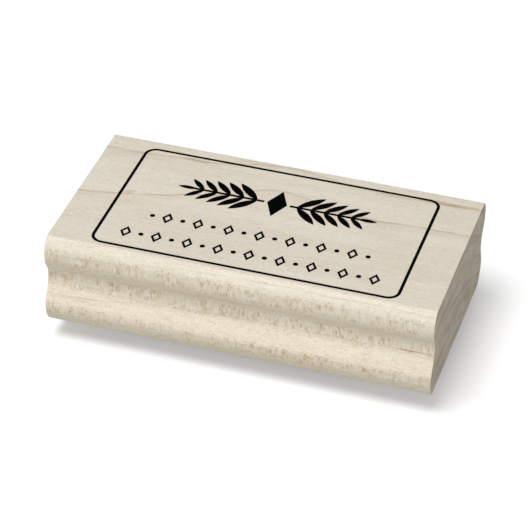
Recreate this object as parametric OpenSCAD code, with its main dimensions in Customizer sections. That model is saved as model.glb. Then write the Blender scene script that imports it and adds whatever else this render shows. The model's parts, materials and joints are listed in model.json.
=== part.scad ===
// Wood-mounted rubber stamp: a moulded maple block with an index print on top,
// and a cushioned rubber die below. Millimetres. +X runs along the block, +Y towards
// the top of the print, +Z up. The origin is the middle of the printing face.

/* [Block] */
// Length of the block between its sawn ends
block_l = 76; // [60:0.5:120]
// Width of the block over the bead and the swell
block_w = 41.7; // [38:0.1:70]

/* [Moulding, from the top face down] */
// Height of the bead, with its rounded shoulder
bead_h = 3.9; // [3.4:0.05:9]
// Height of the flank from the bead down to the bottom of the finger groove
lip_h = 4.6; // [4:0.05:8]
// Height of the flat at the bottom of the finger groove
groove_flat = 0.7; // [0:0.05:3]
// Height of the flank from the bottom of the finger groove down to the swell
sweep_h = 5.7; // [4.2:0.05:9]
// Height of the foot, from the widest line of the swell down to the underside
foot_h = 4.4; // [3:0.05:5.6]
// Depth of the finger groove
groove_d = 1.75; // [1:0.05:3]
// Radius of the shoulder
shoulder_r = 3.1; // [1:0.1:3.6]
// Slope at which the shoulder leaves the top face, in degrees
shoulder_slope = 26; // [5:1:40]
// Radius of the lip under the bead
lip_r = 4.2; // [0.4:0.1:6]
// Radius of the hollow under the lip
lip_cove_r = 2.4; // [1:0.1:6]
// Radius of the hollow above the swell
cove_r = 5.5; // [2:0.1:6]
// Radius of the upper side of the swell
swell_r = 2.7; // [1:0.1:5]
// Radius of the foot
foot_r = 6; // [5.7:0.1:12]

/* [Index print] */
// Length over the printed border
border_l = 60.3; // [54:0.1:90]
// Width over the printed border
border_w = 35.1; // [31:0.1:40]
// Width of the border's line
border_line = 0.6; // [0.4:0.05:1.2]
// Outer corner radius of the border
border_r = 2.5; // [1.3:0.1:5]
// How far the print sits towards the front of the top face
print_shift = 0.7; // [0:0.1:1]
// Thickness of the ink
ink_t = 0.05; // [0.03:0.01:0.2]

/* [Artwork inside the border] */
// Height of the leaf divider above the middle of the border
divider_y = 6.2; // [4:0.1:9]
// Length of one side of the divider, from the stem's start to the tip of its last leaf
sprig_l = 17.4; // [12:0.1:20]
// Pairs of leaves on one side of the divider
leaf_pairs = 5; // [2:1:5]
// Length of the leaves next to the diamond
leaf_l = 6.6; // [3:0.1:8]
// Width of the leaves next to the diamond
leaf_w = 1.7; // [0.8:0.1:2.2]
// How much shorter the last leaf is than the first, as a share
leaf_taper = 0.4; // [0.1:0.05:0.6]
// Angle between a leaf and the stem
leaf_lean = 45; // [25:1:60]
// Width of the stem
stem_w = 0.6; // [0.3:0.05:1]
// Width of the diamond in the middle
diamond_w = 4; // [2:0.1:6]
// Height of the diamond in the middle
diamond_h = 9; // [3:0.1:11]
// Marks in each row of lozenges and dots, from the upper row down
row_marks = [15, 17];
// Distance from the border's middle down to the first row
row_y = 5.6; // [5:0.1:7]
// Distance between the rows
row_pitch = 6.8; // [5:0.1:8]
// Distance between the marks of a row
mark_pitch = 3.05; // [2:0.05:3.2]
// Width of a lozenge
lozenge_w = 2.2; // [1.4:0.1:2.6]
// Height of a lozenge
lozenge_h = 3.6; // [2:0.1:4.6]
// Width of a lozenge's line
lozenge_line = 0.45; // [0.3:0.05:0.6]
// Radius of a dot
dot_r = 0.5; // [0.3:0.05:0.8]

/* [Rubber die and cushion] */
// Width of the stamped impression
impression_w = 25; // [18:0.1:34]
// Rubber left around the impression when the die is trimmed
trim = 1.2; // [0.6:0.1:3]
// Corner radius of the trimmed rubber and cushion
trim_r = 1.5; // [0.5:0.1:4]
// Thickness of the rubber behind the engraving
sheet_t = 1.4; // [0.8:0.1:3]
// Height of the engraved relief, from the engraved floor to the printing face
relief_h = 0.9; // [0.55:0.05:1.5]
// Height of the wider step that supports the relief
step_h = 0.45; // [0.1:0.05:0.5]
// How far that step stands out around the printing face
step_w = 0.2; // [0.05:0.01:0.4]
// Thickness of the foam cushion
cushion_t = 1.6; // [1:0.1:5]
// Thickness of each adhesive film
film_t = 0.13; // [0.05:0.01:0.3]

/* [Hidden] */

arc_step = 5;
whole_fn = 64;

block_h = bead_h + lip_h + groove_flat + sweep_h + foot_h;
half_w = block_w / 2;
swell_z = foot_h;
groove_z = swell_z + sweep_h;
lip_z = groove_z + groove_flat + lip_h;

print_k = impression_w / border_w;
die_l = border_l * print_k + 2 * trim;
die_w = impression_w + 2 * trim;

floor_z = relief_h;
sheet_z = floor_z + sheet_t;
cushion_z = sheet_z + film_t;
film_z = cushion_z + cushion_t;
block_z = film_z + film_t;
top_z = block_z + block_h;

// Points of an arc about c from angle a to angle b, both ends included.
function arc(c, r, a, b) =
    let (n = max(2, ceil(abs(b - a) / arc_step)))
    [for (i = [0:n]) c + r * [cos(a + (b - a) * i / n), sin(a + (b - a) * i / n)]];

// Share by which two radii are reduced where a flank of height h and depth d can't hold them.
function fit(h, d, r1, r2) = min(1, 0.96 * (h * h + d * d) / (2 * (r1 + r2) * d));

// Slope of the straight part of a flank, between an outer radius r1 and a hollow r2 that touch it.
function slope(h, d, r1, r2) =
    let (r = r1 + r2)
    asin(r / norm([h, r - d])) - atan2(r - d, h);

// Right-hand side of the block's section, from the underside up to the top face.
function section() =
    let (
        lower = fit(sweep_h, groove_d, swell_r, cove_r),
        upper = fit(lip_h, groove_d, lip_r, lip_cove_r),
        swell = swell_r * lower,
        low_cove = cove_r * lower,
        lip = lip_r * upper,
        high_cove = lip_cove_r * upper,
        a = slope(sweep_h, groove_d, swell, low_cove),
        b = slope(lip_h, groove_d, lip, high_cove),
        shoulder_z = block_h - shoulder_r * cos(shoulder_slope)
    )
    concat(
        arc([half_w - foot_r, swell_z], foot_r, -asin(foot_h / foot_r), 0),
        arc([half_w - swell, swell_z], swell, 0, a),
        arc([half_w - groove_d + low_cove, groove_z], low_cove, 180 + a, 180),
        arc([half_w - groove_d + high_cove, groove_z + groove_flat], high_cove, 180, 180 - b),
        arc([half_w - lip, lip_z], lip, -b, 0),
        arc([half_w - shoulder_r, shoulder_z], shoulder_r, 0, 90 - shoulder_slope)
    );

// The points of a list without those that repeat the one before.
function distinct(p) = [for (i = [0:len(p) - 1]) if (i == 0 || norm(p[i] - p[i - 1]) > 0.001) p[i]];

function mirrored(p) = [for (i = [len(p) - 1:-1:0]) [-p[i][0], p[i][1]]];

// A rectangle with round corners, centred.
module plate(l, w, r) {
    square([l - 2 * r, w], center = true);
    square([l, w - 2 * r], center = true);
    for (x = [-1, 1], y = [-1, 1])
        translate([x * (l / 2 - r), y * (w / 2 - r)])
            circle(r, $fn = whole_fn);
}

// A pointed leaf of length l and width w that starts at the origin and points along X.
module leaf(l, w) {
    r = (l * l + w * w) / (4 * w);
    intersection_for (side = [-1, 1])
        translate([l / 2, side * (r - w / 2)])
            circle(r, $fn = whole_fn);
}

// The border at k times the index's size, its line g wider on each side.
module border_art(k, g) {
    l = border_l * k + 2 * g;
    w = border_w * k + 2 * g;
    line = border_line * k + 2 * g;
    r = border_r * k + g;
    difference() {
        plate(l, w, r);
        plate(l - 2 * line, w - 2 * line, r - line);
    }
}

// A leaf at a share of the full leaf's size, its outline g wider all round.
module leaf_at(k, g, share) {
    translate([-1.5 * g, 0])
        leaf(leaf_l * k * share + 3 * g, leaf_w * k * share + 2 * g);
}

// One side of the divider: a stem, pairs of leaves that get smaller, and a last leaf on its tip.
module sprig(k, g) {
    last = 1 - leaf_taper;
    last_x = (sprig_l - leaf_l * last) * k;
    pitch = last_x / leaf_pairs;
    translate([-g, -stem_w * k / 2 - g])
        square([last_x + leaf_l * last * k / 3 + g, stem_w * k + 2 * g]);
    for (i = [0:leaf_pairs - 1], side = [-1, 1])
        translate([pitch * (i + 0.5), 0])
            rotate(side * leaf_lean)
                leaf_at(k, g, 1 - leaf_taper * i / leaf_pairs);
    translate([last_x, 0])
        leaf_at(k, g, last);
}

// A lozenge a wide and b high, its outline g wider all round.
module lozenge(a, b, g) {
    share = 1 + g / reach(a, b);
    polygon(share / 2 * [[-a, 0], [0, -b], [a, 0], [0, b]]);
}

// Distance from a lozenge's middle to its sides.
function reach(a, b) = a * b / (2 * norm([a, b]));

module divider_art(k, g) {
    translate([0, divider_y * k]) {
        lozenge(diamond_w * k, diamond_h * k, g);
        for (side = [0, 1])
            mirror([side, 0])
                translate([(diamond_w / 2 + stem_w) * k, 0])
                    sprig(k, g);
    }
}

// An open lozenge whose line is g wider on each side.
module open_lozenge(k, g) {
    a = lozenge_w * k;
    b = lozenge_h * k;
    inside = lozenge_line * k + g;
    difference() {
        lozenge(a, b, g);
        if (inside < reach(a, b))
            lozenge(a, b, -inside);
    }
}

// Rows in which open lozenges and dots take turns, with a lozenge in the middle.
module rows_art(k, g) {
    for (row = [0:len(row_marks) - 1]) {
        half = (row_marks[row] - 1) / 2;
        for (i = [-half:half])
            translate([i * mark_pitch * k, -(row_y + row * row_pitch) * k]) {
                if (i % 2 == 0) open_lozenge(k, g);
                else circle(dot_r * k + g, $fn = whole_fn);
            }
    }
}

module artwork(k, g) {
    border_art(k, g);
    divider_art(k, g);
    rows_art(k, g);
}

module mount_block() {
    side = distinct(section());
    color("#DCD3BF")
        translate([0, 0, block_z])
            rotate([90, 0, 90])
                linear_extrude(block_l, center = true)
                    polygon(concat(side, mirrored(side)));
}

// A film of ink on the top face.
module ink() {
    color("#141312")
        translate([0, -print_shift, top_z])
            linear_extrude(ink_t)
                children();
}

module index_border() {
    ink() border_art(1, 0);
}

module index_divider() {
    ink() divider_art(1, 0);
}

module index_rows() {
    ink() rows_art(1, 0);
}

// A layer of the trimmed stack below the block.
module layer(z, t) {
    translate([0, 0, z])
        linear_extrude(t)
            plate(die_l, die_w, trim_r);
}

module block_adhesive() {
    color("#D9CFAE") layer(film_z, film_t);
}

module foam_cushion() {
    color("#B9BBB8") layer(cushion_z, cushion_t);
}

module die_adhesive() {
    color("#D9CFAE") layer(sheet_z, film_t);
}

module rubber_die() {
    color("#6E6A66") {
        layer(floor_z, sheet_t);
        translate([0, 0, floor_z - step_h])
            linear_extrude(step_h)
                artwork(print_k, step_w);
        linear_extrude(relief_h)
            artwork(print_k, 0);
    }
}

mount_block();
index_border();
index_divider();
index_rows();
block_adhesive();
foam_cushion();
die_adhesive();
rubber_die();
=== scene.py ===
"""Looks of a wood-mounted rubber stamp: maple block, printed index, foam cushion and engraved rubber die.

Everything is in metres, in the part's own frame: +X along the block, +Y towards the artwork's top, +Z up.
"""

import json
import logging
import math
from dataclasses import dataclass, field
from enum import Enum

import bpy
from mathutils import Matrix, Vector

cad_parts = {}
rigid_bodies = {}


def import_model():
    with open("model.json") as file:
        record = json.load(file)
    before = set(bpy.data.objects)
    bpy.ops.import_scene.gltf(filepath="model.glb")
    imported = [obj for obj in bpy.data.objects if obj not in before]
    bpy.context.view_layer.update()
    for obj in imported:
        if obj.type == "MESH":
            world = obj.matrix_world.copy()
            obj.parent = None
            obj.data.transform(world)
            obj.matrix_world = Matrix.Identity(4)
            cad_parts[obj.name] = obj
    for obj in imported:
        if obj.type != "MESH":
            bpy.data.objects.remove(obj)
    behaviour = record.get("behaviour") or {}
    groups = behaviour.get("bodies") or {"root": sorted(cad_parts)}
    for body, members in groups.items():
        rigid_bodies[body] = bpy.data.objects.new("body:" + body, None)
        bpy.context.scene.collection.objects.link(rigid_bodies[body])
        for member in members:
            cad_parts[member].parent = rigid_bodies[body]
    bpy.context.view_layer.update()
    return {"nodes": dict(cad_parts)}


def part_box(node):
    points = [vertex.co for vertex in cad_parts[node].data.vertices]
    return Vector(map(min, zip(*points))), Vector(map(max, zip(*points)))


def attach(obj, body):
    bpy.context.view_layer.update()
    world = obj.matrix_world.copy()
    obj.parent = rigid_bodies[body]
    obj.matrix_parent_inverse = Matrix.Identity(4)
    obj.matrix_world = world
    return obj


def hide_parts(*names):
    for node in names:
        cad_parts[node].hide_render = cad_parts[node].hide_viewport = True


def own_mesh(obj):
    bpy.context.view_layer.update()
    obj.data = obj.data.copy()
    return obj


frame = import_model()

MM = 0.001
MERGE_WITHIN = 0.002 * MM
FLAT_WITHIN_DEGREES = 0.5
RAY_FACE = "ray_face"
WHITE = "#FFFFFF"
Socket = bpy.types.NodeSocket
Tree = bpy.types.NodeTree
log = logging.getLogger("stamp")


class Grain(Enum):
    """Which way the wood's fibres meet a face. The value is the finish's name."""

    LONG = "maple_long_grain"
    END = "maple_end_grain"


# --------------------------------------------------------------------------------------------- helpers


def direction(azimuth: float, elevation: float) -> Vector:
    """Points from the block towards the camera or a lamp.

    Args:
        azimuth: Degrees from the front towards +X.
        elevation: Degrees above the horizon.

    Returns:
        A vector one long.
    """
    a, e = math.radians(azimuth), math.radians(elevation)
    return Vector((math.sin(a) * math.cos(e), -math.cos(a) * math.cos(e), math.sin(e)))


def linear(hex_colour: str) -> tuple[float, float, float, float]:
    """Turns an sRGB hex colour into the linear values that shaders read.

    Args:
        hex_colour: Six hex digits after a hash sign.

    Returns:
        Linear red, green and blue, and 1 for a solid colour.
    """
    channels = [int(hex_colour[i : i + 2], 16) / 255 for i in (1, 3, 5)]
    return tuple(c / 12.92 if c <= 0.04045 else ((c + 0.055) / 1.055) ** 2.4 for c in channels) + (1.0,)


def add_node(tree: Tree, kind: str, inputs: dict | None = None, **settings) -> bpy.types.Node:
    """Adds a node, sets its properties, and sets or links its inputs.

    Args:
        tree: The node tree that the node is added to.
        kind: The node's type, without the word ShaderNode.
        inputs: Socket name or index to a value, or to the output socket that feeds it.
        **settings: Properties of the node, such as operation.

    Returns:
        The new node.
    """
    node = tree.nodes.new("ShaderNode" + kind)
    for name, value in settings.items():
        setattr(node, name, value)
    for name, value in (inputs or {}).items():
        if isinstance(value, Socket):
            tree.links.new(value, node.inputs[name])
        else:
            node.inputs[name].default_value = value
    return node


def maths(tree: Tree, operation: str, *values: float | Socket) -> Socket:
    """Works something out with numbers.

    Args:
        tree: The node tree.
        operation: What is worked out, by the Math node's own name for it.
        *values: What it is worked out from.

    Returns:
        The result.
    """
    return add_node(tree, "Math", dict(enumerate(values)), operation=operation).outputs[0]


def vectors(tree: Tree, operation: str, *values: tuple | Socket) -> Socket:
    """Works something out with vectors, as maths does with numbers.

    Args:
        tree: The node tree.
        operation: What is worked out.
        *values: What it is worked out from.

    Returns:
        The result.
    """
    return add_node(tree, "VectorMath", dict(enumerate(values)), operation=operation).outputs[0]


def spread(
    tree: Tree, value: Socket, low: float, high: float, start: float = 0.0, end: float = 1.0, **settings
) -> Socket:
    """Goes from one value to another while the input goes from low to high, and no further.

    Args:
        tree: The node tree.
        value: The input.
        low: Where it starts.
        high: Where it ends.
        start: The value at low.
        end: The value at high.
        **settings: Properties of the node, such as interpolation_type.

    Returns:
        The value in between.
    """
    return add_node(tree, "MapRange", {0: value, 1: low, 2: high, 3: start, 4: end}, **settings).outputs[0]


def ease(tree: Tree, value: Socket, low: float, high: float, start: float = 0.0, end: float = 1.0) -> Socket:
    """Does what spread does, but starts and ends gently.

    Args:
        tree: The node tree.
        value: The input.
        low: Where it starts.
        high: Where it ends.
        start: The value at low.
        end: The value at high.

    Returns:
        The value in between.
    """
    return spread(tree, value, low, high, start, end, interpolation_type="SMOOTHSTEP")


def mix(tree: Tree, share: Socket, below: tuple | Socket, above: tuple | Socket) -> Socket:
    """Mixes two colours.

    Args:
        tree: The node tree.
        share: How much of the second there is.
        below: The first colour.
        above: The second colour.

    Returns:
        The mixed colour.
    """
    inputs = {"Factor": share, 6: below, 7: above}
    return add_node(tree, "Mix", inputs, data_type="RGBA").outputs[2]


def bump_of(tree: Tree, height: Socket, strength: float, deep_mm: float) -> Socket:
    """Turns heights into a relief.

    Args:
        tree: The node tree.
        height: The heights, where 1 is deep_mm.
        strength: How much of the relief shows.
        deep_mm: How deep it is, in millimetres.

    Returns:
        The bent normals.
    """
    return add_node(
        tree, "Bump", {"Height": height, "Strength": strength, "Distance": deep_mm * MM}
    ).outputs[0]


def new_material(name: str) -> tuple[bpy.types.Material, Tree]:
    """Makes an empty material.

    Args:
        name: The finish's name.

    Returns:
        The material and its node tree, with no nodes in it.
    """
    material = bpy.data.materials.new(name)
    material.use_nodes = True
    material.node_tree.nodes.clear()
    return material, material.node_tree


def close_material(tree: Tree, shader: bpy.types.Node) -> None:
    """Links a shader to a new material output.

    Args:
        tree: The material's node tree.
        shader: The node whose first output is the surface.
    """
    add_node(tree, "OutputMaterial", {"Surface": shader.outputs[0]})


# -------------------------------------------------------------------------------------------- finishes


@dataclass(frozen=True)
class GrowthRing:
    """The brown line where one year's wood ends.

    Attributes:
        radius: Its distance from the pith in millimetres, at the block's left end.
        line: How brown the thin line is.
        shade: How brown the late wood inside it is.
    """

    radius: float
    line: float
    shade: float


@dataclass(frozen=True)
class Stain:
    """A brown mineral mark in the wood, long along the grain.

    Attributes:
        place: Its middle, in millimetres from the block's middle.
        size: Its half-length, half-width and half-height in millimetres.
        strength: How far its colour goes towards brown.
        ragged: How far its edge strays, as a share of its size.
        ragged_size: Size of the straying, along the grain and across it.
        fade: Where its colour starts to fade and where it ends, as shares of its size.
    """

    place: tuple[float, float, float]
    size: tuple[float, float, float]
    strength: float
    ragged: float = 1.4
    ragged_size: tuple[float, float, float] = (3.0, 0.5, 0.5)
    fade: tuple[float, float] = (0.6, 1.8)


@dataclass(frozen=True)
class Tint:
    """How one pattern of the grain colours the wood.

    Attributes:
        pattern: The pattern's name in _fibres.
        low: Its value where the colour starts.
        high: Its value where the colour is full.
        amount: How strong the colour is there, from 0 to 1.
    """

    pattern: str
    low: float
    high: float
    amount: float


@dataclass(frozen=True)
class RingShape:
    """How the growth rings run through the block, in millimetres, measured from the block's middle.

    Attributes:
        step, back_step: How far they step outwards along the block, at the front and at the back.
        along: Where along the block the step starts and where it is full.
        across: Where across the block the front's step ends and the back's starts.
        bump, bump_place, bump_reach: How far they bulge, where, and the bulge's radius.
        wave, wave_size: How far they waver, and over what lengths.
        line, shade, end: Widths of the thin line, of the late wood inside it and of both lines' outer edge.
        patch_size, patch: Size of the patches, and their noise where a line is faintest and where it is full.
        faint: What is left of a line where it is faintest.
    """

    step: float = 2.3
    back_step: float = 0.5
    along: tuple[float, float] = (-38.0, 0.0)
    across: tuple[float, float] = (8.0, 17.0)
    bump: float = 1.6
    bump_place: tuple[float, float, float] = (-0.5, 14.0, 0.0)
    bump_reach: float = 9.0
    wave: float = 0.8
    wave_size: tuple[float, float, float] = (16.0, 9.0, 9.0)
    line: float = 0.16
    shade: float = 1.1
    end: float = 0.06
    patch_size: tuple[float, float, float] = (6.0, 3.0, 3.0)
    patch: tuple[float, float] = (0.35, 0.62)
    faint: float = 0.3


@dataclass(frozen=True)
class RayShape:
    """The wood's rays, thin ribbons that run out from the pith.

    Attributes:
        size: Along the grain, through the ribbon and towards the pith, in millimetres.
        warp: How far the ribbons stray, as a share of their size.
        warp_scale: How often they stray, per ribbon.
        fade: Where a ribbon starts to fade and where it ends, from its middle, as shares of its size.
        group_size: Size of the loose groups of brown rays, in millimetres.
        group: The groups' noise where brown rays start to show, and where they are full.
        brown, clear: A ray's chance where it starts to be brown or clear, and where it is fully so.
    """

    size: tuple[float, float, float] = (0.42, 0.13, 1.5)
    warp: float = 0.8
    warp_scale: float = 1.7
    fade: tuple[float, float] = (0.1, 0.8)
    group_size: tuple[float, float, float] = (2.6, 0.5, 4.0)
    group: tuple[float, float] = (0.32, 0.54)
    brown: tuple[float, float] = (0.2, 0.8)
    clear: tuple[float, float] = (0.3, 0.1)


@dataclass(frozen=True)
class RayFace:
    """How strongly brown rays show on a face, by how upright it stands: 0 is level and 1 is upright.

    Attributes:
        level: Strength on a level face.
        slanted: What a slanted face adds.
        upright: What an upright face adds to both.
        slanted_full: How upright a face is when slanted is added in full.
        upright_from: How upright a face is when upright starts to be added.
        upright_over: How much further it is to where upright is added in full.
    """

    level: float = 0.3
    slanted: float = 0.12
    upright: float = 0.58
    slanted_full: float = 0.9
    upright_from: float = 0.93
    upright_over: float = 0.05

    def strength(self, stands: float) -> float:
        """Works out the strength on one face.

        Args:
            stands: How upright the face stands, from 0 to 1.

        Returns:
            The strength, from level to 1.
        """
        share = min(max((stands - self.upright_from) / self.upright_over, 0.0), 1.0)
        return self.level + self.slanted * min(stands / self.slanted_full, 1.0) + self.upright * share


@dataclass(frozen=True)
class Maple:
    """Hard maple, moulded and sanded, unvarnished: pale, close-grained, with thin brown lines and ray flecks.

    The grain is one solid pattern round a pith that lies below the block. Rings, fibres and rays therefore
    meet at the edges as they do in a sawn piece: the top shows broad soft lines, the front shows the rays'
    flat sides as upright dashes, and the ends show them as fine radial lines. All sizes are in millimetres.

    Attributes:
        centre: The middle of the block, in metres.
        top: Height of the block's top face, in metres.
        grain: Long grain, or end grain for the sawn ends, whose open fibres drink in light.
        pale, cream: Long grain, at its palest and at its darkest broad tone.
        pore, line, fleck, clear: Pores; rings' lines and stains; brown rays and late wood; clear rays.
        side: The tint of the moulded sides, which starts side_from below the top and is full at side_full.
        end_pale, end_dark: End grain, at its palest and in its open fibres.
        pith: Where the pith runs, from the block's middle.
        shape, rays: How the rings run, and the rays.
        tone, long_tints, end_tints: Broad tone and finer patterns of long grain, and end grain's patterns.
        side_amount, clear_amount, brown_amount, shade_amount, line_amount: How strongly the sides' tint, the
            rays, the late wood and the rings' lines show on long grain, from 0 to 1.
        end_clear_amount, end_shade_amount, end_line_amount: The same for end grain.
        relief, end_relief: How deep the fibres are on long grain and on end grain.
        saw_size, saw_amount: Size of the saw's marks on the ends, and how deep they are against the fibres.
        rough, end_rough: Roughness of long grain, from its smoothest to its roughest, and of end grain.
        rings, stains: The rings that can be told apart, and the stains.
    """

    centre: tuple[float, float, float]
    top: float
    grain: Grain = Grain.LONG
    pale: str = "#EEE6D6"
    cream: str = "#E5DCCA"
    pore: str = "#8E816C"
    line: str = "#9C7148"
    fleck: str = "#B59462"
    clear: str = "#F0ECE4"
    side: str = "#C9B488"
    end_pale: str = "#F4EBDA"
    end_dark: str = "#BFB09C"
    pith: tuple[float, float, float] = (0.0, -18.0, -68.0)
    shape: RingShape = RingShape()
    rays: RayShape = RayShape()
    tone: Tint = Tint("tone", 0.3, 0.7, 1.0)
    long_tints: tuple[Tint, ...] = (
        Tint("strand", 0.5, 0.8, 0.12),
        Tint("fibre", 0.5, 0.75, 0.14),
        Tint("pore", 0.56, 0.7, 0.22),
    )
    end_tints: tuple[Tint, ...] = (
        Tint("tone", 0.3, 0.7, 0.4),
        Tint("year", 0.42, 0.68, 0.6),
        Tint("pore", 0.55, 0.7, 0.5),
    )
    side_from: float = 1.2
    side_full: float = 4.5
    side_amount: float = 0.12
    clear_amount: float = 0.55
    brown_amount: float = 0.75
    shade_amount: float = 0.5
    line_amount: float = 0.6
    end_clear_amount: float = 0.5
    end_shade_amount: float = 0.6
    end_line_amount: float = 0.5
    relief: float = 0.03
    end_relief: float = 0.06
    saw_size: tuple[float, float, float] = (1.0, 0.35, 8.0)
    saw_amount: float = 1.5
    rough: tuple[float, float] = (0.55, 0.7)
    end_rough: float = 0.85
    rings: tuple[GrowthRing, ...] = (
        GrowthRing(60.6, 0.3, 0.15),
        GrowthRing(65.2, 0.45, 0.25),
        GrowthRing(69.2, 0.25, 0.12),
        GrowthRing(74.7, 0.35, 0.12),
        GrowthRing(79.2, 0.75, 0.3),
        GrowthRing(84.25, 0.7, 0.5),
    )
    stains: tuple[Stain, ...] = (
        Stain((-19.0, 15.4, 9.65), (5.0, 0.8, 1.6), 0.5),
        Stain((31.0, 16.3, 9.65), (9.0, 0.8, 1.6), 0.6),
        Stain((-28.4, 0.2, 9.65), (1.6, 1.2, 2.4), 0.35),
        Stain((-7.0, 18.3, 9.65), (8.0, 0.8, 1.6), 0.3),
        Stain((33.5, -19.2, -0.35), (6.5, 1.0, 0.16), 0.8),
        Stain((-2.0, -20.1, 3.2), (6.0, 1.0, 0.2), 0.35),
    )

    def build(self) -> bpy.types.Material:
        """Builds the material.

        Returns:
            Maple's long grain, or its end grain.
        """
        material, tree = new_material(self.grain.value)
        space = self._space(tree)
        rings = self._rings(tree, space)
        flecks = self._flecks(tree, space)
        fibres = self._fibres(tree, space)
        if self.grain is Grain.END:
            colour = self._end_colour(tree, rings, flecks, fibres)
        else:
            colour = self._long_colour(tree, space, rings, flecks, fibres)
        close_material(tree, self._surface(tree, colour, space, fibres))
        return material

    def _space(self, tree: Tree) -> dict[str, Socket]:
        """Lays millimetre and polar coordinates round the pith.

        Args:
            tree: The material's node tree.

        Returns:
            Sockets by name, in millimetres: mm, the place from the block's middle; pith, the place from the
            pith; x, y and radius, parts of that; polar, which is x, the arc round the pith and the radius.
        """
        place = add_node(tree, "TexCoord").outputs["Object"]
        middle = tuple(c / MM for c in self.centre)
        mm = vectors(tree, "MULTIPLY", place, (1 / MM,) * 3)
        mm = vectors(tree, "SUBTRACT", mm, middle)
        from_pith = vectors(tree, "SUBTRACT", mm, self.pith)
        parts = add_node(tree, "SeparateXYZ", {0: from_pith}).outputs
        square = maths(tree, "MULTIPLY", parts["Y"], parts["Y"])
        square = add_node(tree, "Math", {0: parts["Z"], 1: parts["Z"], 2: square}, operation="MULTIPLY_ADD")
        radius = maths(tree, "POWER", square.outputs[0], 0.5)
        angle = maths(tree, "ARCTAN2", parts["Y"], parts["Z"])
        arc = maths(tree, "MULTIPLY", angle, -self.pith[2])
        polar = add_node(tree, "CombineXYZ", {0: parts["X"], 1: arc, 2: radius}).outputs[0]
        return {
            "mm": mm, "pith": from_pith, "x": parts["X"], "y": parts["Y"], "radius": radius, "polar": polar
        }

    def _noise(self, tree: Tree, place: Socket, size: tuple, detail: float = 2.0) -> Socket:
        """Adds noise with features of the given size.

        Args:
            tree: The material's node tree.
            place: Coordinates in millimetres.
            size: Size of the features along each coordinate, in millimetres.
            detail: Finer layers added to it.

        Returns:
            Values round 0.5.
        """
        scaled = vectors(tree, "MULTIPLY", place, tuple(1 / s for s in size))
        return add_node(tree, "TexNoise", {"Vector": scaled, "Scale": 1.0, "Detail": detail}).outputs[0]

    def _rings(self, tree: Tree, space: dict) -> dict[str, Socket]:
        """Draws the growth rings, which step outwards along the block and bulge near its middle.

        Args:
            tree: The material's node tree.
            space: Sockets from _space.

        Returns:
            Sockets by name: line and shade, from 0 to 1.
        """
        shape = self.shape
        share = ease(tree, space["x"], *shape.along)
        front, back = (y - self.pith[1] for y in shape.across)
        amount = ease(tree, space["y"], front, back, shape.step, shape.back_step)
        rise = maths(tree, "MULTIPLY", share, amount)
        rise = self._bulge(tree, space, rise)
        wave = self._noise(tree, space["mm"], shape.wave_size)
        rise = maths(tree, "MULTIPLY_ADD", wave, shape.wave, rise)
        rise = maths(tree, "SUBTRACT", rise, shape.wave / 2)
        year = maths(tree, "SUBTRACT", space["radius"], rise)
        line, shade = 0.0, 0.0
        for ring in self.rings:
            past = ease(tree, year, ring.radius, ring.radius + shape.end, 1.0, 0.0)
            thin = ease(tree, year, ring.radius - shape.line, ring.radius, 0.0, ring.line)
            soft = ease(tree, year, ring.radius - shape.shade, ring.radius, 0.0, ring.shade)
            line = maths(tree, "MULTIPLY_ADD", thin, past, line)
            shade = maths(tree, "MULTIPLY_ADD", soft, past, shade)
        patchy = self._noise(tree, space["mm"], shape.patch_size, 3.0)
        faintest, full = shape.patch
        patchy = spread(tree, patchy, faintest, full, shape.faint, 1.0)
        return {
            "line": maths(tree, "MULTIPLY", line, patchy),
            "shade": maths(tree, "MULTIPLY", shade, patchy),
        }

    def _bulge(self, tree: Tree, space: dict, rise: Socket) -> Socket:
        """Adds the rings' bulge, which falls off round its middle as a bell does.

        Args:
            tree: The material's node tree.
            space: Sockets from _space.
            rise: How far the rings stand out without it.

        Returns:
            How far they stand out with it.
        """
        back = tuple(-c for c in self.shape.bump_place)
        reach = (1 / self.shape.bump_reach, 1 / self.shape.bump_reach, 0.0)
        near = vectors(tree, "ADD", space["mm"], back)
        near = vectors(tree, "MULTIPLY", near, reach)
        near = add_node(tree, "VectorMath", {0: near, 1: near}, operation="DOT_PRODUCT").outputs["Value"]
        near = maths(tree, "POWER", math.exp(-1), near)
        return maths(tree, "MULTIPLY_ADD", near, self.shape.bump, rise)

    def _flecks(self, tree: Tree, space: dict) -> dict[str, Socket]:
        """Draws the rays, each a cell stretched into a ribbon.

        Args:
            tree: The material's node tree.
            space: Sockets from _space.

        Returns:
            Sockets by name: brown rays, in loose groups along the block, and clear ones, from 0 to 1.
        """
        rays = self.rays
        scaled = vectors(tree, "MULTIPLY", space["polar"], tuple(1 / s for s in rays.size))
        warp = add_node(
            tree, "TexNoise", {"Vector": scaled, "Scale": rays.warp_scale, "Detail": 1.0}
        ).outputs["Color"]
        scaled = vectors(tree, "MULTIPLY_ADD", warp, (rays.warp,) * 3, scaled)
        cell = add_node(tree, "TexVoronoi", {"Vector": scaled, "Scale": 1.0}).outputs
        ray = ease(tree, cell["Distance"], *rays.fade, 1.0, 0.0)
        chance = add_node(tree, "SeparateColor", {0: cell["Color"]}).outputs[0]
        group = self._noise(tree, space["polar"], rays.group_size, 1.0)
        group = spread(tree, group, rays.group[0], rays.group[1])
        face = add_node(tree, "Attribute", attribute_name=RAY_FACE).outputs["Fac"]
        group = maths(tree, "MULTIPLY", group, face)
        brown = spread(tree, chance, rays.brown[0], rays.brown[1])
        brown = maths(tree, "MULTIPLY", brown, group)
        clear = spread(tree, chance, rays.clear[0], rays.clear[1])
        return {
            "brown": maths(tree, "MULTIPLY", brown, ray),
            "clear": maths(tree, "MULTIPLY", clear, ray),
        }

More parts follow.
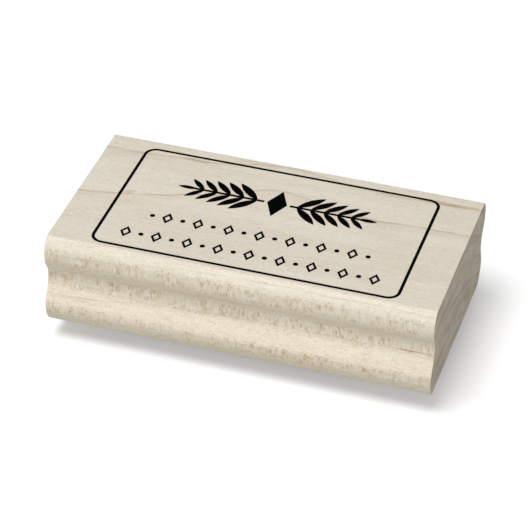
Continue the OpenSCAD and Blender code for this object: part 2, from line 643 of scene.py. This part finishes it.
    def _fibres(self, tree: Tree, space: dict) -> dict[str, Socket]:
        """Draws what runs along the grain: broad tone, strands, single fibres, pores and the year's layers.

        Args:
            tree: The material's node tree.
            space: Sockets from _space.

        Returns:
            Sockets by name, each round 0.5.
        """
        return {
            "tone": self._noise(tree, space["pith"], (45.0, 5.0, 5.0)),
            "strand": self._noise(tree, space["pith"], (9.0, 0.7, 0.7), 3.0),
            "fibre": self._noise(tree, space["pith"], (2.2, 0.16, 0.16)),
            "pore": self._noise(tree, space["pith"], (0.8, 0.13, 0.13), 1.0),
            "year": self._noise(tree, space["polar"], (60.0, 14.0, 1.6)),
        }

    def _lay(
        self, tree: Tree, share: Socket, amount: float, below: Socket | tuple, colour: str
    ) -> Socket:
        """Lays a colour over another.

        Args:
            tree: The material's node tree.
            share: Where the colour shows, from 0 to 1.
            amount: How strong it is where share is 1.
            below: The colour under it.
            colour: The colour as sRGB hex.

        Returns:
            The mixed colour.
        """
        scaled = add_node(tree, "Math", {0: share, 1: amount}, operation="MULTIPLY", use_clamp=True)
        return mix(tree, scaled.outputs[0], below, linear(colour))

    def _tint(self, tree: Tree, fibres: dict, tint: Tint, below: Socket | tuple, colour: str) -> Socket:
        """Lays one pattern's colour over another colour.

        Args:
            tree: The material's node tree.
            fibres: Sockets from _fibres.
            tint: The pattern and how it shows.
            below: The colour under it.
            colour: Its colour as sRGB hex.

        Returns:
            The mixed colour.
        """
        share = spread(tree, fibres[tint.pattern], tint.low, tint.high)
        return self._lay(tree, share, tint.amount, below, colour)

    def _long_colour(self, tree: Tree, space: dict, rings: dict, flecks: dict, fibres: dict) -> Socket:
        """Colours the sides along the grain.

        Args:
            tree: The material's node tree.
            space: Sockets from _space.
            rings: Sockets from _rings.
            flecks: Sockets from _flecks.
            fibres: Sockets from _fibres.

        Returns:
            The base colour.
        """
        colour = self._tint(tree, fibres, self.tone, linear(self.pale), self.cream)
        for tint in self.long_tints:
            colour = self._tint(tree, fibres, tint, colour, self.pore)
        height = add_node(tree, "SeparateXYZ", {0: space["mm"]}).outputs["Z"]
        edge = (self.top - self.centre[2]) / MM
        moulded = ease(tree, height, edge - self.side_full, edge - self.side_from, 1.0, 0.0)
        colour = self._lay(tree, moulded, self.side_amount, colour, self.side)
        colour = self._lay(tree, flecks["clear"], self.clear_amount, colour, self.clear)
        colour = self._lay(tree, flecks["brown"], self.brown_amount, colour, self.fleck)
        colour = self._lay(tree, rings["shade"], self.shade_amount, colour, self.fleck)
        colour = self._lay(tree, rings["line"], self.line_amount, colour, self.line)
        for stain in self.stains:
            colour = self._lay(tree, self._mark(tree, space, stain), stain.strength, colour, self.line)
        return colour

    def _mark(self, tree: Tree, space: dict, stain: Stain) -> Socket:
        """Shades one stain, ragged along the fibres.

        Args:
            tree: The material's node tree.
            space: Sockets from _space.
            stain: The stain.

        Returns:
            Its share of brown, from 0 to 1.
        """
        offset = vectors(tree, "SUBTRACT", space["mm"], stain.place)
        reach = tuple(1 / s for s in stain.size)
        scaled = vectors(tree, "MULTIPLY", offset, reach)
        ragged = self._noise(tree, space["mm"], stain.ragged_size, 3.0)
        distance = add_node(tree, "VectorMath", {0: scaled}, operation="LENGTH").outputs["Value"]
        distance = maths(tree, "MULTIPLY_ADD", ragged, stain.ragged, distance)
        return ease(tree, distance, *stain.fade, 1.0, 0.0)

    def _end_colour(self, tree: Tree, rings: dict, flecks: dict, fibres: dict) -> Socket:
        """Colours the sawn ends.

        Args:
            tree: The material's node tree.
            rings: Sockets from _rings.
            flecks: Sockets from _flecks.
            fibres: Sockets from _fibres.

        Returns:
            The base colour.
        """
        colour = linear(self.end_pale)
        for tint in self.end_tints:
            colour = self._tint(tree, fibres, tint, colour, self.end_dark)
        colour = self._lay(tree, flecks["clear"], self.end_clear_amount, colour, self.end_pale)
        colour = self._lay(tree, rings["shade"], self.end_shade_amount, colour, self.fleck)
        return self._lay(tree, rings["line"], self.end_line_amount, colour, self.line)

    def _surface(self, tree: Tree, colour: Socket, space: dict, fibres: dict) -> bpy.types.Node:
        """Gives the wood its dry, faintly silky surface.

        Args:
            tree: The material's node tree.
            colour: The base colour.
            space: Sockets from _space.
            fibres: Sockets from _fibres.

        Returns:
            The shader node.
        """
        height = maths(tree, "ADD", fibres["fibre"], fibres["strand"])
        if self.grain is Grain.END:
            saw = self._noise(tree, space["mm"], self.saw_size)
            height = maths(tree, "MULTIPLY_ADD", saw, self.saw_amount, height)
            relief, rough = self.end_relief, self.end_rough
        else:
            smooth_side, rough_side = self.rough
            relief = self.relief
            rough = spread(tree, fibres["strand"], 0.3, 0.7, smooth_side, rough_side)
        bump = bump_of(tree, height, 0.35, relief)
        return add_node(
            tree,
            "BsdfPrincipled",
            {
                "Base Color": colour,
                "Roughness": rough,
                "IOR": 1.45,
                "Specular IOR Level": 0.3,
                "Normal": bump,
            },
        )


@dataclass(frozen=True)
class PrintInk:
    """Black pigment ink, printed straight on bare wood: dead matt, a little thinner over the hard fibres.

    Attributes:
        black: The ink where it lies thick.
        thin: The ink where it lies thin.
        fibres_per_metre: How fine the fibres are, along the block, across it and upwards.
        thin_range: The fibres' noise where the ink starts to thin, and where it is thinnest.
        relief_mm: How far the fibres lift it.
    """

    black: str = "#080808"
    thin: str = "#1C1916"
    fibres_per_metre: tuple[float, float, float] = (220.0, 6200.0, 6200.0)
    thin_range: tuple[float, float] = (0.55, 0.8)
    relief_mm: float = 0.01

    def build(self) -> bpy.types.Material:
        """Builds the material.

        Returns:
            The ink.
        """
        material, tree = new_material("printed_ink")
        place = add_node(tree, "TexCoord").outputs["Object"]
        fibres = vectors(tree, "MULTIPLY", place, self.fibres_per_metre)
        noise = add_node(tree, "TexNoise", {"Vector": fibres, "Scale": 1.0, "Detail": 3.0}).outputs[0]
        starts, thinnest = self.thin_range
        share = spread(tree, noise, starts, thinnest)
        colour = mix(tree, share, linear(self.black), linear(self.thin))
        bump = bump_of(tree, noise, 0.3, self.relief_mm)
        shader = add_node(
            tree,
            "BsdfPrincipled",
            {"Base Color": colour, "Roughness": 0.8, "Specular IOR Level": 0.0, "Normal": bump},
        )
        close_material(tree, shader)
        return material


@dataclass(frozen=True)
class CushionFoam:
    """Closed-cell foam, knife-cut from a sheet: soft, chalky, with its cells open at the cut.

    Attributes:
        wall: The walls between the cells.
        cell: Painted shade in the open cells, darker towards their middles, where the bump makes pits.
        cell_mm: How wide a cell is.
        relief_mm: How deep a cell is.
    """

    wall: str = "#C6C8C4"
    cell: str = "#8E918E"
    cell_mm: float = 0.25
    relief_mm: float = 0.06

    def build(self) -> bpy.types.Material:
        """Builds the material.

        Returns:
            The foam.
        """
        material, tree = new_material("cushion_foam")
        place = add_node(tree, "TexCoord").outputs["Object"]
        cells = add_node(
            tree, "TexVoronoi", {"Vector": place, "Scale": 1 / (self.cell_mm * MM)}, feature="F1"
        ).outputs["Distance"]
        # Painted shade: each open cell darkens towards cell at its middle, where the bump dips in.
        share = spread(tree, cells, 0.1, 0.5, 1.0, 0.0)
        colour = mix(tree, share, linear(self.wall), linear(self.cell))
        bump = bump_of(tree, cells, 0.8, self.relief_mm)
        shader = add_node(
            tree,
            "BsdfPrincipled",
            {"Base Color": colour, "Roughness": 0.9, "Specular IOR Level": 0.2, "Normal": bump},
        )
        close_material(tree, shader)
        return material


@dataclass(frozen=True)
class AdhesiveFilm:
    """Clear acrylic transfer adhesive, a little yellow, with fine dust on its shiny cut edge.

    Attributes:
        film: The film.
        dusty: The film where dust sticks to it.
        dust_per_metre: How fine the dust is.
    """

    film: str = "#E2D9B8"
    dusty: str = "#A89F86"
    dust_per_metre: float = 3000.0

    def build(self) -> bpy.types.Material:
        """Builds the material.

        Returns:
            The film.
        """
        material, tree = new_material("adhesive_film")
        place = add_node(tree, "TexCoord").outputs["Object"]
        scale = self.dust_per_metre
        dust = add_node(tree, "TexNoise", {"Vector": place, "Scale": scale, "Detail": 3.0}).outputs[0]
        rough = spread(tree, dust, 0.4, 0.7, 0.18, 0.6)
        shade = spread(tree, dust, 0.5, 0.8)
        colour = mix(tree, shade, linear(self.film), linear(self.dusty))
        shader = add_node(tree, "BsdfPrincipled", {"Base Color": colour, "Roughness": rough, "IOR": 1.47})
        close_material(tree, shader)
        return material


@dataclass(frozen=True)
class EngravedRubber:
    """Grey stamp rubber, laser engraved: smooth and matt on its printing face, scan-lined where burnt away.

    Attributes:
        face: Height of the printing face, in metres.
        rubber: The printing face.
        burnt: The engraved floor.
        speck: Pale specks all over it.
        scan_mm: From one scan line to the next.
        burnt_mm: Depth below the face where the burnt look starts, and where it is full.
        grain_per_metre: How fine the rubber's grain is.
        relief_mm: How deep the scan lines are.
    """

    face: float
    rubber: str = "#726D69"
    burnt: str = "#57524E"
    speck: str = "#8C8680"
    scan_mm: float = 0.12
    burnt_mm: tuple[float, float] = (0.05, 0.25)
    grain_per_metre: float = 2600.0
    relief_mm: float = 0.05

    def build(self) -> bpy.types.Material:
        """Builds the material.

        Returns:
            The rubber.
        """
        material, tree = new_material("engraved_rubber")
        place = add_node(tree, "TexCoord").outputs["Object"]
        parts = add_node(tree, "SeparateXYZ", {0: place}).outputs
        starts, full = self.burnt_mm
        depth = ease(tree, parts["Z"], self.face + starts * MM, self.face + full * MM)
        grain = add_node(
            tree, "TexNoise", {"Vector": place, "Scale": self.grain_per_metre, "Detail": 3.0}
        ).outputs[0]
        sine = maths(tree, "MULTIPLY", parts["Y"], 2 * math.pi / (self.scan_mm * MM))
        sine = maths(tree, "SINE", sine)
        rows = maths(tree, "MULTIPLY_ADD", sine, 0.5, grain)
        height = maths(tree, "MULTIPLY", rows, depth)
        colour = mix(tree, depth, linear(self.rubber), linear(self.burnt))
        specks = spread(tree, grain, 0.5, 0.75, 0.0, 0.35)
        colour = mix(tree, specks, colour, linear(self.speck))
        bump = bump_of(tree, height, 0.6, self.relief_mm)
        shader = add_node(
            tree,
            "BsdfPrincipled",
            {"Base Color": colour, "Roughness": 0.74, "IOR": 1.52, "Specular IOR Level": 0.3, "Normal": bump},
        )
        close_material(tree, shader)
        return material


# ------------------------------------------------------------------------------------------- modelling


def deselect_all() -> None:
    """Leaves edit mode and selects nothing."""
    if bpy.context.object and bpy.context.object.mode != "OBJECT":
        bpy.ops.object.mode_set(mode="OBJECT")
    for other in bpy.context.view_layer.objects:
        other.select_set(False)


def make_active(piece: bpy.types.Object) -> None:
    """Selects one object alone.

    Args:
        piece: The object.
    """
    deselect_all()
    piece.select_set(True)
    bpy.context.view_layer.objects.active = piece


def copy_of_node(node: str, name: str) -> bpy.types.Object:
    """Copies a CAD node's mesh into a new object, with its loose triangles merged and its flat faces whole.

    Args:
        node: The CAD node.
        name: The new piece's name.

    Returns:
        The new piece.
    """
    source = frame["nodes"][node]
    piece = bpy.data.objects.new(name, source.data.copy())
    piece.data.materials.clear()
    bpy.context.scene.collection.objects.link(piece)
    make_active(piece)
    bpy.ops.object.mode_set(mode="EDIT")
    bpy.ops.mesh.customdata_custom_splitnormals_clear()
    bpy.ops.mesh.select_all(action="SELECT")
    bpy.ops.mesh.remove_doubles(threshold=MERGE_WITHIN)
    bpy.ops.mesh.dissolve_limited(angle_limit=math.radians(FLAT_WITHIN_DEGREES))
    bpy.ops.mesh.select_all(action="DESELECT")
    bpy.ops.object.mode_set(mode="OBJECT")
    return piece


def bevel_edges(piece: bpy.types.Object, chosen: set[int], width: float, segments: int) -> None:
    """Rounds some edges of a piece.

    Args:
        piece: The piece.
        chosen: Indices of its edges.
        width: Width of the bevel, in metres.
        segments: Steps across it.
    """
    make_active(piece)
    bpy.ops.object.mode_set(mode="EDIT")
    bpy.ops.mesh.select_mode(type="EDGE")
    bpy.ops.mesh.select_all(action="DESELECT")
    bpy.ops.object.mode_set(mode="OBJECT")
    for edge in piece.data.edges:
        edge.select = edge.index in chosen
    bpy.ops.object.mode_set(mode="EDIT")
    bpy.ops.mesh.bevel(offset=width, segments=segments, profile=0.5, affect="EDGES", clamp_overlap=True)
    bpy.ops.mesh.select_all(action="DESELECT")
    bpy.ops.object.mode_set(mode="OBJECT")


def smooth(piece: bpy.types.Object, degrees: float) -> None:
    """Shades a piece smooth where its faces meet at less than an angle, and keeps flat faces flat.

    Args:
        piece: The piece.
        degrees: The angle.
    """
    make_active(piece)
    bpy.ops.object.shade_smooth_by_angle(angle=math.radians(degrees))
    weighted = piece.modifiers.new("flat faces stay flat", "WEIGHTED_NORMAL")
    weighted.keep_sharp = True
    bpy.ops.object.modifier_apply(modifier=weighted.name)
    deselect_all()


@dataclass
class MountBlock:
    """The block of maple moulding, sawn to length, with its index print.

    Attributes:
        body: The CAD body that it rides on.
        end_round: How far the sawn ends' edges are sanded off.
        foot_round: How far the long edges of the underside are sanded off.
        crease_round: How far the crease between top face and shoulder is softened.
        end_slope: How squarely a face must look along the block to be part of a sawn end, from 0 to 1.
        prints: The CAD nodes of the index print.
        low: The block's lowest corner, in metres.
        high: Its highest corner, in metres.
    """

    body: str = "mount"
    end_round: float = 0.22 * MM
    foot_round: float = 0.35 * MM
    crease_round: float = 0.5 * MM
    end_slope: float = 0.75
    prints: tuple[str, ...] = ("index_border", "index_divider", "index_rows")
    low: Vector = field(init=False)
    high: Vector = field(init=False)

    def __post_init__(self) -> None:
        """Reads the block's place from the frame."""
        self.low, self.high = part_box("mount_block")

    def build(self) -> bpy.types.Object:
        """Models and dresses the block and finishes its print.

        Returns:
            The block.
        """
        piece = copy_of_node("mount_block", "maple_block")
        self._soften(piece)
        self._dress(piece)
        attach(piece, self.body)
        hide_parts("mount_block")
        ink = PrintInk().build()
        for name in self.prints:
            shown = frame["nodes"][name]
            shown.data.materials.clear()
            shown.data.materials.append(ink)
        return piece

    def _soften(self, piece: bpy.types.Object) -> None:
        """Takes the sharpness off the block's edges.

        Args:
            piece: The block.
        """
        near = 0.01 * MM

        def long_edges(height: float) -> set[int]:
            """Finds the edges along the block at the outer line of a flat face.

            Args:
                height: The face's height, in metres.

            Returns:
                Indices of the edges.
            """
            found = {}
            for edge in piece.data.edges:
                a, b = (piece.data.vertices[v].co for v in edge.vertices)
                if abs(a.z - height) < near and abs(b.z - height) < near and abs(a.x - b.x) > near:
                    found[edge.index] = abs(a.y)
            widest = max(found.values())
            return {index for index, y in found.items() if y > widest - near}

        bevel_edges(piece, long_edges(self.high.z), self.crease_round, segments=3)
        bevel_edges(piece, long_edges(self.low.z), self.foot_round, segments=3)
        ends = set()
        for edge in piece.data.edges:
            a, b = (piece.data.vertices[v].co for v in edge.vertices)
            from_end = min(abs(abs(a.x) - self.high.x), abs(abs(b.x) - self.high.x))
            if abs(a.x - b.x) < near and from_end < near:
                ends.add(edge.index)
        bevel_edges(piece, ends, self.end_round, segments=2)
        smooth(piece, degrees=40)

    def _dress(self, piece: bpy.types.Object) -> None:
        """Gives the sides long grain and the ends end grain, and marks where the rays lie in the surface.

        Args:
            piece: The block.
        """
        centre = tuple((self.low + self.high) / 2)
        for grain in (Grain.LONG, Grain.END):
            piece.data.materials.append(Maple(centre, self.high.z, grain).build())
        for face in piece.data.polygons:
            face.material_index = int(abs(face.normal.x) > self.end_slope)
        shown = piece.data.attributes.new(RAY_FACE, "FLOAT", "POINT")
        for vertex in piece.data.vertices:
            shown.data[vertex.index].value = RayFace().strength(abs(vertex.normal.y))


@dataclass
class DieStack:
    """The engraved rubber, its foam cushion and the films that hold them.

    Attributes:
        body: The CAD body that they ride on.
        joint: The joint that squashes the cushion; not used.
        waist: How far the cushion's sides are drawn in at half height.
        corner: Corner radius of the cushion.
        layers: Layers of faces up the cushion's sides.
    """

    body: str = "die"
    joint: str = "cushion_press"
    waist: float = 0.14 * MM
    corner: float = 1.5 * MM
    layers: int = 6

    def build(self) -> list[bpy.types.Object]:
        """Models and dresses the cushion and the rubber, and finishes the two films.

        Returns:
            The cushion and the rubber die.
        """
        film = AdhesiveFilm().build()
        for name in ("block_adhesive", "die_adhesive"):
            shown = frame["nodes"][name]
            shown.data.materials.clear()
            shown.data.materials.append(film)
        return [self._cushion(), self._rubber()]

    def _cushion(self) -> bpy.types.Object:
        """Models the foam sheet: rounded corners, sides drawn in between its glued faces.

        Returns:
            The cushion.
        """
        low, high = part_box("foam_cushion")
        size = high - low
        deselect_all()
        bpy.ops.mesh.primitive_cube_add(size=1, location=(low + high) / 2)
        piece = bpy.context.object
        piece.name = "foam_cushion_sheet"
        piece.scale = size
        bpy.ops.object.transform_apply(location=True, rotation=True, scale=True)
        upright = set()
        for edge in piece.data.edges:
            a, b = (piece.data.vertices[v].co for v in edge.vertices)
            if abs(a.z - b.z) > size.z / 2:
                upright.add(edge.index)
        bevel_edges(piece, upright, self.corner, segments=8)
        make_active(piece)
        bpy.ops.object.mode_set(mode="EDIT")
        for layer in range(1, self.layers):
            height = low.z + size.z * layer / self.layers
            bpy.ops.mesh.select_all(action="SELECT")
            bpy.ops.mesh.bisect(plane_co=(0, 0, height), plane_no=(0, 0, 1))
            share = math.sin(math.pi * layer / self.layers)
            pull_x = 1 - 2 * self.waist * share / size.x
            pull_y = 1 - 2 * self.waist * share / size.y
            bpy.ops.transform.resize(value=(pull_x, pull_y, 1), center_override=(0, 0, height))
        bpy.ops.mesh.select_all(action="DESELECT")
        bpy.ops.object.mode_set(mode="OBJECT")
        smooth(piece, degrees=40)
        piece.data.materials.append(CushionFoam().build())
        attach(piece, self.body)
        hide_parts("foam_cushion")
        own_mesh(piece)
        return piece

    def _rubber(self) -> bpy.types.Object:
        """Models the die from the CAD relief, its flat faces kept flat.

        Returns:
            The rubber die.
        """
        low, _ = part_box("rubber_die")
        piece = copy_of_node("rubber_die", "engraved_rubber_die")
        smooth(piece, degrees=35)
        piece.data.materials.append(EngravedRubber(low.z).build())
        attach(piece, self.body)
        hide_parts("rubber_die")
        return piece


@dataclass(frozen=True)
class Lamp:
    """A square soft lamp, aimed at the stamp.

    Attributes:
        name: What it is called.
        azimuth: Where it hangs, in degrees from the front towards +X.
        elevation: Its height above the horizon, in degrees.
        distance: From the origin, in metres.
        size: The side of the square, in metres.
        power: In watts.
    """

    name: str
    azimuth: float
    elevation: float
    distance: float
    size: float
    power: float


@dataclass
class Studio:
    """A plain pale floor, soft lamps and the camera.

    Attributes:
        azimuth: Where the camera stands, in degrees from the front towards +X.
        elevation: Its height above the horizon, in degrees.
        roll: Its lean, in degrees.
        distance: From the block's middle, in metres.
        lens: Focal length, in millimetres.
        sensor: Width of the sensor, in millimetres.
        shift: How far the frame is shifted off the block's middle, as a share of its width.
        floor_size: The floor's side, in metres.
        floor_thrown: The floor's colour for the light that it throws back.
        floor_glow: How much it glows to the camera, which keeps it white.
        room_thrown: How bright the room is as a lamp.
        room_seen: How bright it looks.
        lamps: The lamps.
    """

    azimuth: float = 15.63
    elevation: float = 34.33
    roll: float = 2.04
    distance: float = 0.50828
    lens: float = 178.51
    sensor: float = 36.0
    shift: tuple[float, float] = (-0.0045, -0.0086)
    floor_size: float = 6.0
    floor_thrown: str = "#B0AEAA"
    floor_glow: float = 0.25
    room_thrown: float = 0.23
    room_seen: float = 1.0
    lamps: tuple[Lamp, ...] = (
        Lamp("key", -30.0, 68.0, 1.2, 0.6, 9.15),
        Lamp("fill", 10.0, 15.0, 1.2, 0.6, 5.45),
    )

    def build(self) -> None:
        """Makes the stage."""
        self._camera()
        self._floor()
        self._lamps()
        bpy.context.scene.view_settings.view_transform = "Standard"

    def _axes(self) -> tuple[Vector, Vector, Vector]:
        """Works out the camera's axes.

        Returns:
            Its right, up and backward directions.
        """
        r = math.radians(self.roll)
        back = direction(self.azimuth, self.elevation)
        right = (-back).cross(Vector((0, 0, 1))).normalized()
        up = right.cross(-back)
        return right * math.cos(r) + up * math.sin(r), up * math.cos(r) - right * math.sin(r), back

    def _camera(self) -> None:
        """Stands the camera in front of the stamp."""
        low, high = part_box("mount_block")
        right, up, back = self._axes()
        target = (low + high) / 2
        data = bpy.data.cameras.new("camera")
        data.sensor_width = self.sensor
        data.lens = self.lens
        data.clip_start = 0.01
        data.shift_x, data.shift_y = self.shift
        camera = bpy.data.objects.new("camera", data)
        bpy.context.scene.collection.objects.link(camera)
        turn = Matrix((right, up, back)).transposed().to_4x4()
        camera.matrix_world = Matrix.Translation(target + back * self.distance) @ turn
        bpy.context.scene.camera = camera

    def _seen(self, tree: Tree) -> Socket:
        """Tells what is seen, straight, in gloss or through glass, from what only throws light on the stamp.

        Args:
            tree: The node tree of the floor or the room.

        Returns:
            1 where it is seen and 0 elsewhere.
        """
        ray = add_node(tree, "LightPath").outputs
        seen = add_node(tree, "Math", {0: ray["Is Camera Ray"], 1: ray["Is Glossy Ray"]}, operation="MAXIMUM")
        return maths(tree, "MAXIMUM", seen.outputs[0], ray["Is Transmission Ray"])

    def _floor(self) -> None:
        """Lays the floor: white to the camera, and grey to the light that it throws back."""
        deselect_all()
        bpy.ops.mesh.primitive_plane_add(size=self.floor_size, location=(0, 0, 0))
        floor = bpy.context.object
        floor.name = "floor"
        material, tree = new_material("floor_paper")
        seen = self._seen(tree)
        colour = mix(tree, seen, linear(self.floor_thrown), linear(WHITE))
        paper = add_node(tree, "BsdfDiffuse", {"Color": colour})
        glow = maths(tree, "MULTIPLY", seen, self.floor_glow)
        light = add_node(tree, "Emission", {"Color": linear(WHITE), "Strength": glow})
        both = add_node(tree, "AddShader", {0: paper.outputs[0], 1: light.outputs[0]})
        close_material(tree, both)
        floor.data.materials.append(material)

    def _lamps(self) -> None:
        """Hangs one lamp high at the front left and one low in front, in an even white room."""
        world = bpy.data.worlds.new("room")
        world.use_nodes = True
        tree = world.node_tree
        tree.nodes.clear()
        level = add_node(
            tree, "MapRange", {0: self._seen(tree), 3: self.room_thrown, 4: self.room_seen}
        ).outputs[0]
        room = add_node(tree, "Background", {"Color": linear(WHITE), "Strength": level})
        add_node(tree, "OutputWorld", {"Surface": room.outputs[0]})
        bpy.context.scene.world = world
        for lamp in self.lamps:
            data = bpy.data.lights.new(lamp.name, "AREA")
            data.size = lamp.size
            data.energy = lamp.power
            hung = bpy.data.objects.new(lamp.name, data)
            bpy.context.scene.collection.objects.link(hung)
            back = direction(lamp.azimuth, lamp.elevation)
            hung.location = back * lamp.distance
            hung.rotation_euler = (-back).to_track_quat("-Z", "Y").to_euler()


def main() -> None:
    """Builds the stamp and its stage."""
    logging.basicConfig(level=logging.INFO, format="%(name)s: %(message)s")
    Studio().build()
    for piece in [MountBlock().build(), *DieStack().build()]:
        log.info("%s: %d faces", piece.name, len(piece.data.polygons))
    deselect_all()


if __name__ == "__main__":
    main()
